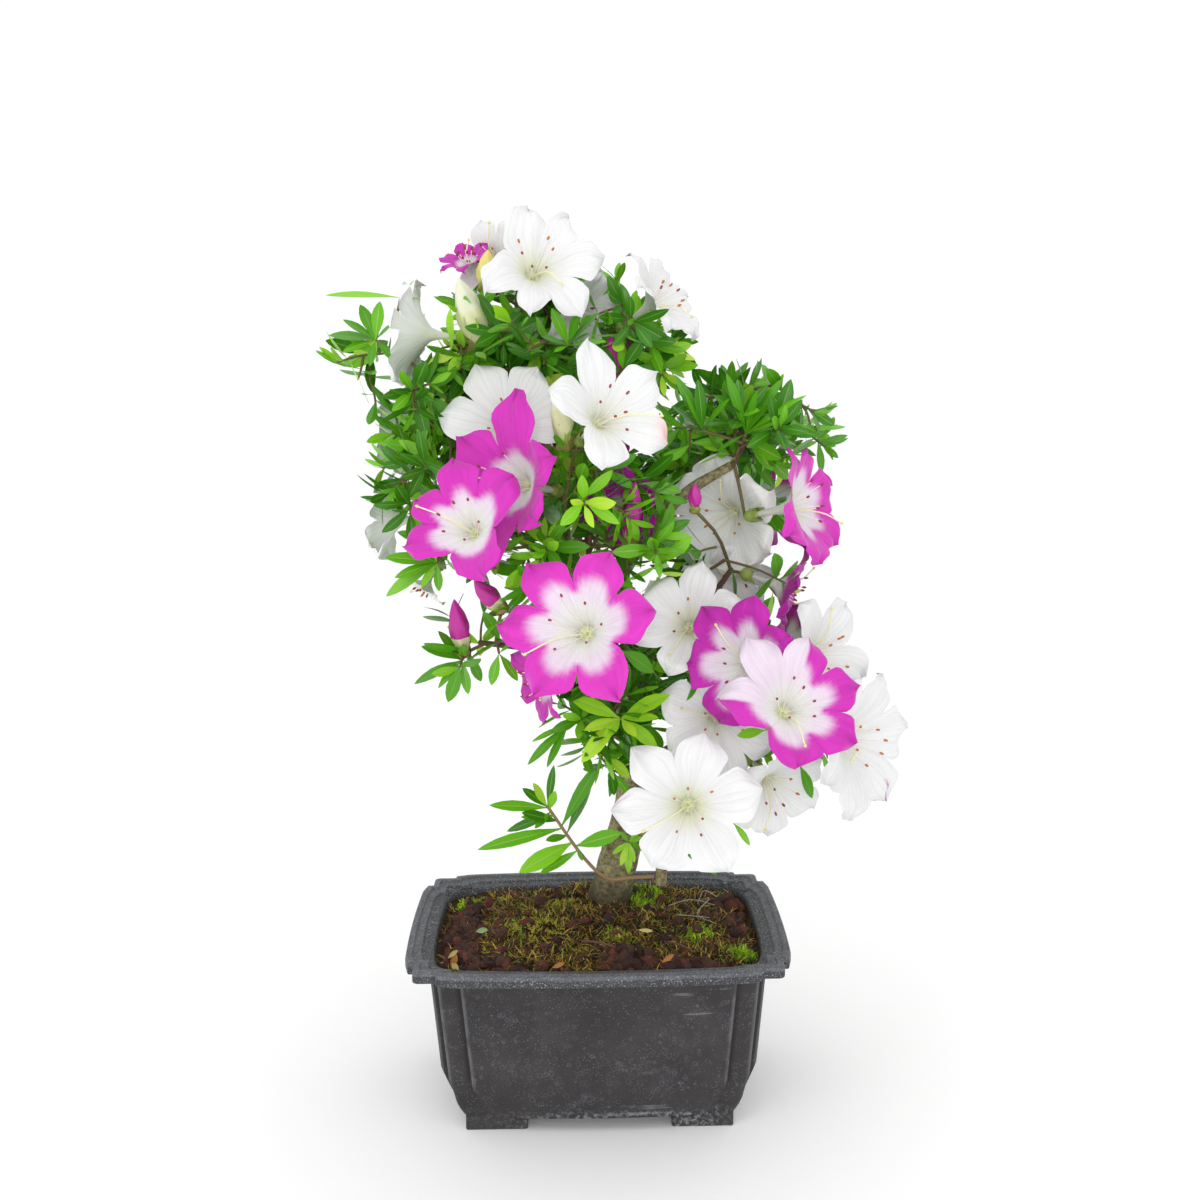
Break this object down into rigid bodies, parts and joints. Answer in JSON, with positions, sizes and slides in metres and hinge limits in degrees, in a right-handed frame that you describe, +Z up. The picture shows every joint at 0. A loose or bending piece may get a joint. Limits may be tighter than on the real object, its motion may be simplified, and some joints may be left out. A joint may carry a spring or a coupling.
{
  "type": "potted azalea bonsai",
  "caption": "Small azalea trained as a bonsai, with large white and magenta-edged blooms over whorls of narrow leaves, in a rectangular footed plastic pot with notched corners.",
  "frame": {"origin": "centre of the plant's bounding box in plan, on the ground under the pot's feet", "axes": "+Z up, -Y towards the plant's front, +X to the right as the front is seen"},
  "size_m": [0.2776, 0.2306, 0.4349],
  "materials": {
    "pot": "matte dark charcoal plastic, weathered blue-grey on the rim",
    "soil": "rough damp mix of bark, moss fibres and red-brown granules",
    "bark": "rough grey-brown bark",
    "foliage": "satin green leaves, with white and magenta petals"
  },
  "bodies": {
    "root": {"pot": "pot", "soil": "soil", "trunk": "bark", "bough_upper_left": "bark", "bough_top_right": "bark", "bough_left": "bark", "bough_centre": "bark", "bough_left_low": "bark", "bough_right": "bark", "bough_right_mid": "bark", "bough_lower_right": "bark", "bough_lower_centre": "bark", "bough_back_left": "bark", "bough_back_top": "bark", "bough_back_centre": "bark", "bough_back_right": "bark", "bough_back_low": "bark", "bough_stub": "bark", "foliage_low_sprig": "foliage", "foliage_top": "foliage", "foliage_upper_left": "foliage", "foliage_top_right": "foliage", "foliage_left": "foliage", "foliage_centre": "foliage", "foliage_left_low": "foliage", "foliage_right": "foliage", "foliage_right_mid": "foliage", "foliage_lower_centre": "foliage", "foliage_lower_right": "foliage", "foliage_back_left": "foliage", "foliage_back_top": "foliage", "foliage_back_centre": "foliage", "foliage_back_right": "foliage", "foliage_back_low": "foliage"}
  },
  "joints": []
}
